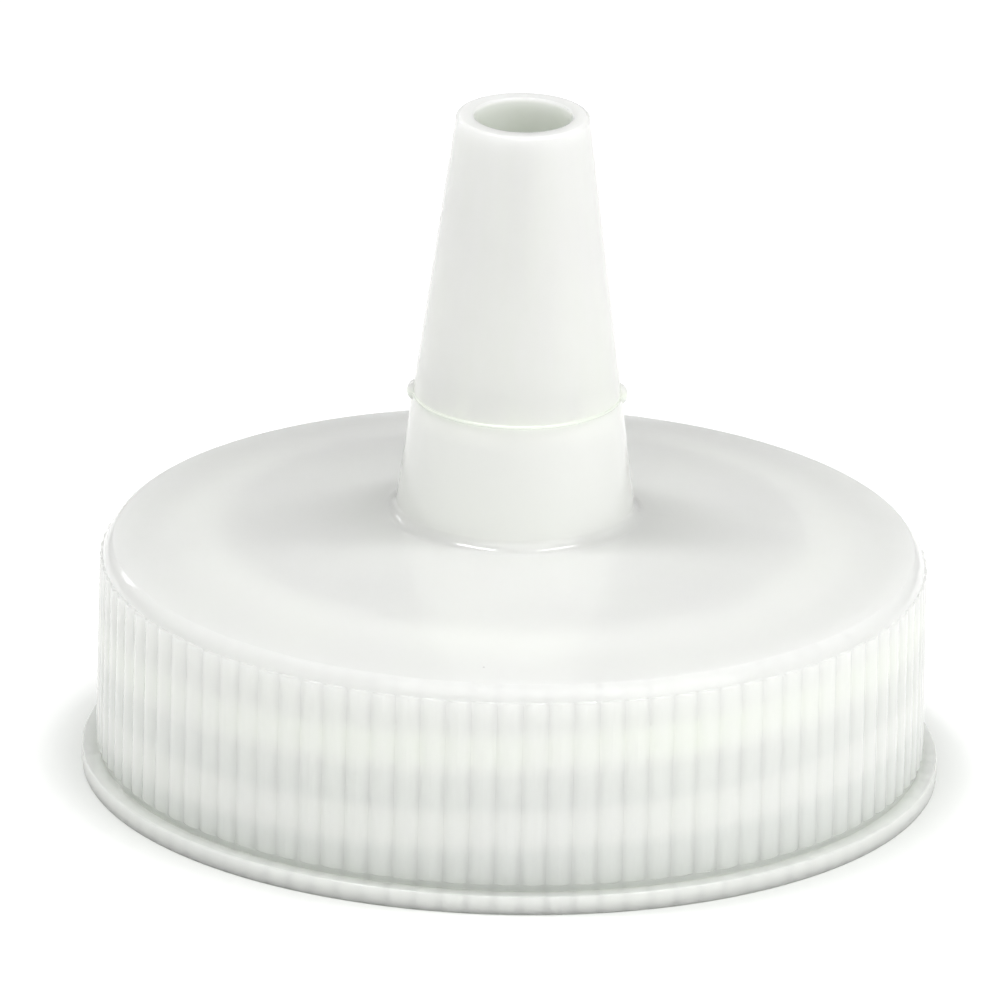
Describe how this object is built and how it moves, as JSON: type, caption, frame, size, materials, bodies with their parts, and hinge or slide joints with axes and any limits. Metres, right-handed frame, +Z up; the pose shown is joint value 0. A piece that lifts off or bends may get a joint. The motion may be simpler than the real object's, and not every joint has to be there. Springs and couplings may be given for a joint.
{
  "type": "pouring spout cap",
  "caption": "Screw-on pouring cap in translucent plastic: ribbed skirt with a base flange, shallow domed deck and a tall open cone nozzle.",
  "frame": {"origin": "centre of the open mouth, in the plane of the base flange's underside", "axes": "+Z up the cap's axis towards the nozzle's tip; -Y is the side that faces the viewer"},
  "size_m": [0.0434, 0.0434, 0.0352],
  "materials": {
    "natural_plastic": "gloss, translucent",
    "nozzle_plastic": "gloss, translucent",
    "liner_foam": "matt foam"
  },
  "bodies": {
    "root": {"cap_body": "natural_plastic", "cone_nozzle": "nozzle_plastic", "sealing_liner": "liner_foam"}
  },
  "joints": []
}
